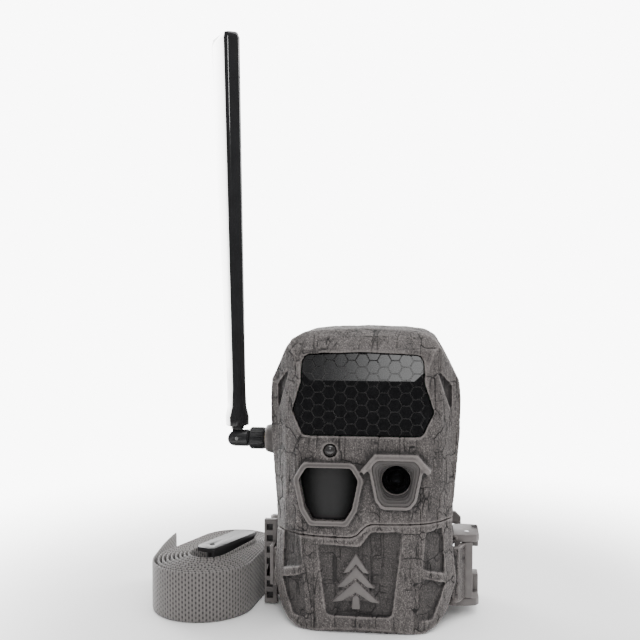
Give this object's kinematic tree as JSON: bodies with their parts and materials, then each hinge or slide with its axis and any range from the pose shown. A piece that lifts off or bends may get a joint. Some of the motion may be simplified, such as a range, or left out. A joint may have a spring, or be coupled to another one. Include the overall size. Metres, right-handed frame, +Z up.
{
  "type": "trail camera",
  "caption": "Bark-camo trail camera standing on its base: hinged lower door, side latch, folding antenna, tree bracket and a wound webbing strap with a cam buckle beside it.",
  "frame": {"origin": "on the ground under the middle of the housing's base", "axes": "+X to the viewer's right, -Y the way the lens looks, +Z up"},
  "size_m": [0.1748, 0.0894, 0.2987],
  "materials": {
    "camo_shell": "weathered bark texture, satin",
    "taupe_plastic": "smooth satin",
    "dark_window": "gloss with a fine hexagon grid",
    "fresnel_lens": "fine-ribbed",
    "clear_glass": "clear",
    "black_plastic": "satin",
    "antenna_gloss": "gloss",
    "circuit_board": "satin",
    "steel": "brushed",
    "brass_insert": "satin",
    "rubber_seal": "matte",
    "battery_wrap": "printed wrap, left plain",
    "webbing": "woven"
  },
  "bodies": {
    "camera": {"front_housing": "camo_shell", "rear_housing": "camo_shell", "flash_window": "dark_window", "flash_board": "circuit_board", "motion_lens": "fresnel_lens", "motion_sensor": "steel", "status_light": "dark_window", "lens_cover": "clear_glass", "lens_barrel": "black_plastic", "front_element": "clear_glass", "image_board": "circuit_board", "main_board": "circuit_board", "battery_tray": "black_plastic", "control_panel": "black_plastic", "door_seal": "rubber_seal", "hinge_pin": "steel", "latch_pin": "steel", "tree_bracket": "taupe_plastic", "tripod_insert": "brass_insert", "antenna_jack": "brass_insert", "antenna_cable": "black_plastic", "strap_coil": "webbing", "strap_end": "webbing", "buckle_frame": "black_plastic", "buckle_pin": "steel", "battery_1": "battery_wrap", "contact_spring_1": "steel", "battery_2": "battery_wrap", "contact_spring_2": "steel", "battery_3": "battery_wrap", "contact_spring_3": "steel", "battery_4": "battery_wrap", "contact_spring_4": "steel", "battery_5": "battery_wrap", "contact_spring_5": "steel", "battery_6": "battery_wrap", "contact_spring_6": "steel", "bracket_screw_1": "steel", "housing_screw_1": "steel", "bracket_screw_2": "steel", "housing_screw_2": "steel", "bracket_screw_3": "steel", "housing_screw_3": "steel", "bracket_screw_4": "steel", "housing_screw_4": "steel"},
    "door": {"lower_door": "camo_shell"},
    "latch": {"side_latch": "taupe_plastic"},
    "filter": {"infrared_filter": "clear_glass"},
    "nut": {"coupling_nut": "black_plastic"},
    "knuckle": {"antenna_knuckle": "black_plastic", "antenna_pin": "steel"},
    "blade": {"antenna_neck": "black_plastic", "antenna_blade": "antenna_gloss"},
    "switch": {"mode_switch": "taupe_plastic"},
    "card": {"memory_card": "black_plastic"},
    "plug": {"power_plug": "rubber_seal"},
    "cam": {"buckle_cam": "black_plastic"},
    "button_a": {"setup_button_1": "taupe_plastic"},
    "button_b": {"setup_button_2": "taupe_plastic"},
    "button_c": {"setup_button_3": "taupe_plastic"}
  },
  "joints": [
    {"name": "door_hinge", "type": "hinge", "parent": "camera", "child": "door", "pos_m": [0.0518, 0.003, 0.023], "axis": [0, 0, 1], "range_deg": [0, 105]},
    {"name": "latch_hinge", "type": "hinge", "parent": "camera", "child": "latch", "pos_m": [-0.0494, 0.0135, 0.023], "axis": [0, 0, -1], "range_deg": [0, 16]},
    {"name": "filter_slide", "type": "slide", "parent": "camera", "child": "filter", "axis": [1, 0, 0], "range_m": [0, 0.0112]},
    {"name": "nut_turn", "type": "hinge", "parent": "camera", "child": "nut", "pos_m": [-0.058, 0.002, 0.088], "axis": [1, 0, 0], "continuous": true},
    {"name": "antenna_swivel", "type": "hinge", "parent": "camera", "child": "knuckle", "pos_m": [-0.068, 0.002, 0.088], "axis": [1, 0, 0], "range_deg": [-110, 110]},
    {"name": "antenna_fold", "type": "hinge", "parent": "knuckle", "child": "blade", "pos_m": [-0.068, 0.002, 0.088], "axis": [0, -1, 0], "range_deg": [0, 88]},
    {"name": "switch_slide", "type": "slide", "parent": "camera", "child": "switch", "axis": [1, 0, 0], "range_m": [-0.0024, 0.0024]},
    {"name": "card_slide", "type": "slide", "parent": "camera", "child": "card", "axis": [0, -1, 0], "range_m": [0, 0.006]},
    {"name": "plug_pull", "type": "slide", "parent": "camera", "child": "plug", "axis": [0, 0, -1], "range_m": [0, 0.006]},
    {"name": "cam_lever", "type": "hinge", "parent": "camera", "child": "cam", "pos_m": [-0.08258, 0.00358, 0.015], "axis": [0, 0, 1], "range_deg": [0, 24]},
    {"name": "button_a_press", "type": "slide", "parent": "camera", "child": "button_a", "axis": [0, 1, 0], "range_m": [0, 0.0008], "stiffness_N_per_m": 300},
    {"name": "button_b_press", "type": "slide", "parent": "camera", "child": "button_b", "axis": [0, 1, 0], "range_m": [0, 0.0008], "stiffness_N_per_m": 300},
    {"name": "button_c_press", "type": "slide", "parent": "camera", "child": "button_c", "axis": [0, 1, 0], "range_m": [0, 0.0008], "stiffness_N_per_m": 300}
  ]
}
